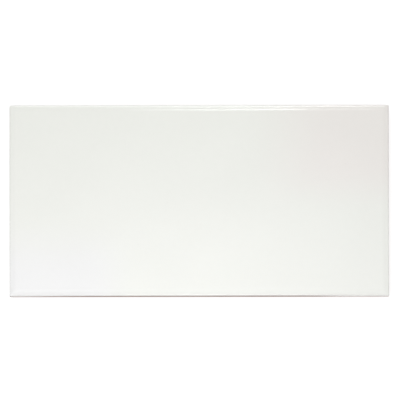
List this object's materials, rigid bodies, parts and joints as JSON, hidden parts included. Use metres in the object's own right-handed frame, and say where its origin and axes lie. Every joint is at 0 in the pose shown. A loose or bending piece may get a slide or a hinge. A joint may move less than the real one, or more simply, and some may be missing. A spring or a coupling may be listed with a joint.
{
  "type": "ceramic wall tile",
  "caption": "Flat rectangular glazed ceramic wall tile with a soft cushion edge and a ribbed back for adhesive.",
  "frame": {"origin": "middle of the back, on the plane that the back's ribs and border rest on", "axes": "+X along the tile's length, +Y across its width, +Z out of the glazed face"},
  "size_m": [0.15, 0.0758, 0.007],
  "materials": {
    "white_glaze": "gloss"
  },
  "bodies": {
    "root": {"ceramic_tile": "white_glaze"}
  },
  "joints": []
}
